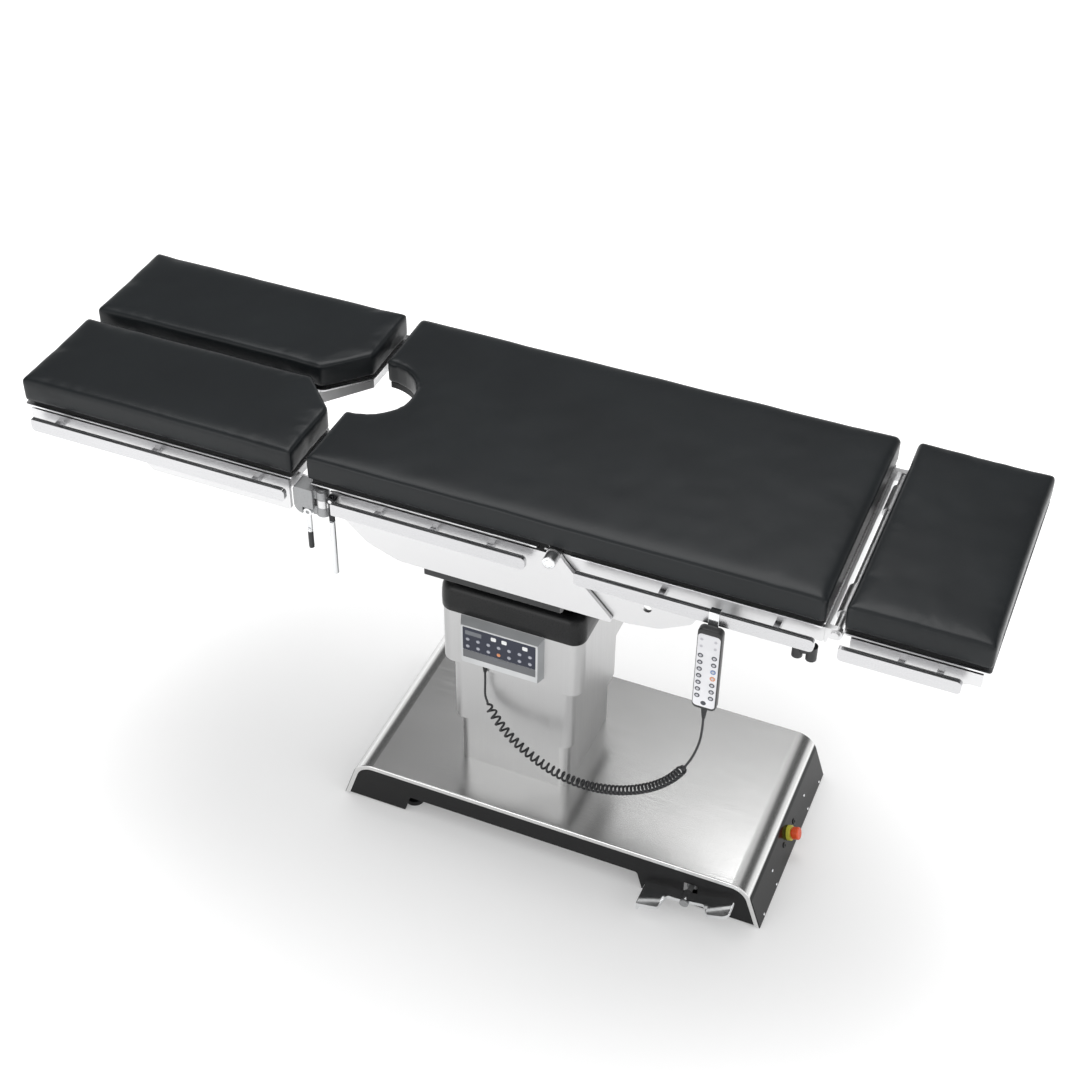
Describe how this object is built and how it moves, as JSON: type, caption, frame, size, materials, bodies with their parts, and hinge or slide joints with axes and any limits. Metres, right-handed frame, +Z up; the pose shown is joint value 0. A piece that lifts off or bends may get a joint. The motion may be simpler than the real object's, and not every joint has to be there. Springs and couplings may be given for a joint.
{
  "type": "operating table",
  "caption": "Mobile electric operating table: sectioned padded top with side rails on a telescoping steel column, low wheeled base, hand control on a curly cord.",
  "frame": {"origin": "on the floor, under the centre of the table top", "axes": "+X from the leg end to the head end, +Y to the patient's right, +Z up"},
  "size_m": [2.002, 0.6009, 0.976],
  "materials": {
    "steel": "satin stainless steel",
    "chrome": "polished",
    "cast": "dark grey paint",
    "frame_paint": "light grey paint",
    "dark_plastic": "fine texture",
    "rubber": "matt",
    "tyre": "matt",
    "pad": "matt synthetic leather over foam",
    "board": "phenolic board",
    "red": "gloss",
    "yellow": "gloss",
    "hood": "satin",
    "membrane": "dark blue membrane",
    "handset_face": "white membrane",
    "cord": "satin"
  },
  "bodies": {
    "base": {"chassis": "cast", "base_cover": "steel", "base_skirt": "dark_plastic", "fixed_feet": "rubber", "low_shroud": "steel", "low_mast": "cast", "stop_collar": "yellow"},
    "castor_carrier": {"castor_carrier": "cast"},
    "castor_fork_leg_left": {"castor_fork_leg_left": "cast"},
    "castor_fork_leg_right": {"castor_fork_leg_right": "cast"},
    "castor_wheel_leg_left": {"castor_wheel_leg_left": "tyre"},
    "castor_wheel_leg_right": {"castor_wheel_leg_right": "tyre"},
    "castor_wheel_head_left": {"castor_wheel_head_left": "tyre"},
    "castor_wheel_head_right": {"castor_wheel_head_right": "tyre"},
    "brake_pedal": {"brake_pedal": "chrome"},
    "stop_button": {"stop_button": "red"},
    "column_mid": {"mid_shroud": "steel", "mid_mast": "cast"},
    "column_top": {"upper_shroud": "steel", "upper_mast": "cast", "column_head": "cast", "boot": "rubber", "panel_hood": "hood", "panel_keypad": "membrane", "cord_plug": "dark_plastic", "cord_lead_low": "cord", "cord_curl": "cord", "cord_lead_high": "cord"},
    "gimbal_cross": {"gimbal_cross": "cast"},
    "slide_tray": {"slide_tray": "dark_plastic"},
    "seat": {"seat_frame": "steel", "seat_board": "board", "seat_pad": "pad", "seat_rails": "steel", "mattress_bend": "pad"},
    "back": {"back_frame": "steel", "back_board": "board", "back_pad": "pad", "back_rails": "steel"},
    "head_carrier": {"head_carrier": "steel"},
    "head": {"head_frame": "steel", "head_board": "board", "head_pad": "pad", "head_rails": "steel"},
    "head_knob_left": {"head_knob_left": "dark_plastic"},
    "head_knob_right": {"head_knob_right": "dark_plastic"},
    "handset": {"handset_shell": "dark_plastic", "handset_keypad": "handset_face"},
    "leg_swivel_left": {"leg_swivel_left": "cast"},
    "leg_left": {"leg_frame_left": "steel", "leg_pad_left": "pad", "leg_rail_left": "steel"},
    "leg_tilt_lever_left": {"leg_tilt_lever_left": "dark_plastic"},
    "leg_lock_lever_left": {"leg_lock_lever_left": "chrome"},
    "leg_swivel_right": {"leg_swivel_right": "cast"},
    "leg_right": {"leg_frame_right": "steel", "leg_pad_right": "pad", "leg_rail_right": "steel"},
    "leg_tilt_lever_right": {"leg_tilt_lever_right": "dark_plastic"},
    "leg_lock_lever_right": {"leg_lock_lever_right": "chrome"}
  },
  "joints": [
    {"name": "pedal_swing", "type": "hinge", "parent": "base", "child": "brake_pedal", "pos_m": [0.489, -0.265, 0.052], "axis": [0, 1, 0], "range_deg": [0, 14]},
    {"name": "carrier_drop", "type": "slide", "parent": "base", "child": "castor_carrier", "axis": [0, 0, -1], "range_m": [0, 0.008]},
    {"name": "castor_swivel_leg_left", "type": "hinge", "parent": "castor_carrier", "child": "castor_fork_leg_left", "pos_m": [-0.255, -0.166, 0.06], "axis": [0, 0, 1], "continuous": true},
    {"name": "castor_roll_leg_left", "type": "hinge", "parent": "castor_fork_leg_left", "child": "castor_wheel_leg_left", "pos_m": [-0.241, -0.166, 0.0315], "axis": [0, 1, 0], "continuous": true},
    {"name": "castor_swivel_leg_right", "type": "hinge", "parent": "castor_carrier", "child": "castor_fork_leg_right", "pos_m": [-0.255, 0.166, 0.06], "axis": [0, 0, 1], "continuous": true},
    {"name": "castor_roll_leg_right", "type": "hinge", "parent": "castor_fork_leg_right", "child": "castor_wheel_leg_right", "pos_m": [-0.241, 0.166, 0.0315], "axis": [0, 1, 0], "continuous": true},
    {"name": "castor_roll_head_left", "type": "hinge", "parent": "castor_carrier", "child": "castor_wheel_head_left", "pos_m": [0.556, -0.166, 0.0315], "axis": [0, 1, 0], "continuous": true},
    {"name": "castor_roll_head_right", "type": "hinge", "parent": "castor_carrier", "child": "castor_wheel_head_right", "pos_m": [0.556, 0.166, 0.0315], "axis": [0, 1, 0], "continuous": true},
    {"name": "stop_press", "type": "slide", "parent": "base", "child": "stop_button", "axis": [-0.9499, 0, -0.3125], "range_m": [0, 0.0035]},
    {"name": "lift", "type": "slide", "parent": "base", "child": "column_top", "axis": [0, 0, 1], "range_m": [-0.25, 0.05]},
    {"name": "lift_mid", "type": "slide", "parent": "base", "child": "column_mid", "axis": [0, 0, 1], "range_m": [-0.13, 0.03]},
    {"name": "trend_tilt", "type": "hinge", "parent": "column_top", "child": "gimbal_cross", "pos_m": [0.033, 0, 0.676], "axis": [0, 1, 0], "range_deg": [-25, 25], "deforming": ["cord_lead_low", "cord_curl", "cord_lead_high", "boot"]},
    {"name": "side_tilt", "type": "hinge", "parent": "gimbal_cross", "child": "slide_tray", "pos_m": [0.033, 0, 0.698], "axis": [1, 0, 0], "range_deg": [-18, 18]},
    {"name": "top_slide", "type": "slide", "parent": "slide_tray", "child": "seat", "axis": [-1, 0, 0], "range_m": [-0.15, 0.15]},
    {"name": "back_lift", "type": "hinge", "parent": "seat", "child": "back", "pos_m": [0.172, 0, 0.902], "axis": [0, -1, 0], "range_deg": [-40, 75], "deforming": ["mattress_bend"]},
    {"name": "head_pull", "type": "slide", "parent": "back", "child": "head_carrier", "axis": [1, 0, 0], "range_m": [0, 0.06]},
    {"name": "head_tilt", "type": "hinge", "parent": "head_carrier", "child": "head", "pos_m": [0.716, 0, 0.893], "axis": [0, -1, 0], "range_deg": [-90, 18]},
    {"name": "head_knob_turn_left", "type": "hinge", "parent": "back", "child": "head_knob_left", "pos_m": [0.66, -0.228, 0.82], "axis": [0, 0, 1], "range_deg": [0, 180]},
    {"name": "leg_spread_left", "type": "hinge", "parent": "seat", "child": "leg_swivel_left", "pos_m": [-0.317, -0.257, 0.871], "axis": [0, 0, 1], "range_deg": [0, 90]},
    {"name": "leg_tilt_left", "type": "hinge", "parent": "leg_swivel_left", "child": "leg_left", "pos_m": [-0.352, -0.23, 0.874], "axis": [0, -1, 0], "range_deg": [-15, 90]},
    {"name": "leg_tilt_lever_swing_left", "type": "hinge", "parent": "leg_swivel_left", "child": "leg_tilt_lever_left", "pos_m": [-0.345, -0.269, 0.846], "axis": [0, -1, 0], "range_deg": [0, 20]},
    {"name": "leg_lock_lever_swing_left", "type": "hinge", "parent": "seat", "child": "leg_lock_lever_left", "pos_m": [-0.291, -0.273, 0.892], "axis": [0, -1, 0], "range_deg": [0, 45]},
    {"name": "head_knob_turn_right", "type": "hinge", "parent": "back", "child": "head_knob_right", "pos_m": [0.66, 0.228, 0.82], "axis": [0, 0, 1], "range_deg": [0, 180]},
    {"name": "leg_spread_right", "type": "hinge", "parent": "seat", "child": "leg_swivel_right", "pos_m": [-0.317, 0.257, 0.871], "axis": [0, 0, -1], "range_deg": [0, 90]},
    {"name": "leg_tilt_right", "type": "hinge", "parent": "leg_swivel_right", "child": "leg_right", "pos_m": [-0.352, 0.23, 0.874], "axis": [0, -1, 0], "range_deg": [-15, 90]},
    {"name": "leg_tilt_lever_swing_right", "type": "hinge", "parent": "leg_swivel_right", "child": "leg_tilt_lever_right", "pos_m": [-0.345, 0.269, 0.846], "axis": [0, -1, 0], "range_deg": [0, 20]},
    {"name": "leg_lock_lever_swing_right", "type": "hinge", "parent": "seat", "child": "leg_lock_lever_right", "pos_m": [-0.291, 0.273, 0.892], "axis": [0, -1, 0], "range_deg": [0, 45]},
    {"name": "handset_slide", "type": "slide", "parent": "back", "child": "handset", "axis": [1, 0, 0], "range_m": [-0.08, 0.08]}
  ],
  "couplings": [
    {"joint": "lift_mid", "follows": "lift", "ratio": 0.5},
    {"joint": "carrier_drop", "follows": "pedal_swing", "m_per_rad": 0.0327}
  ]
}
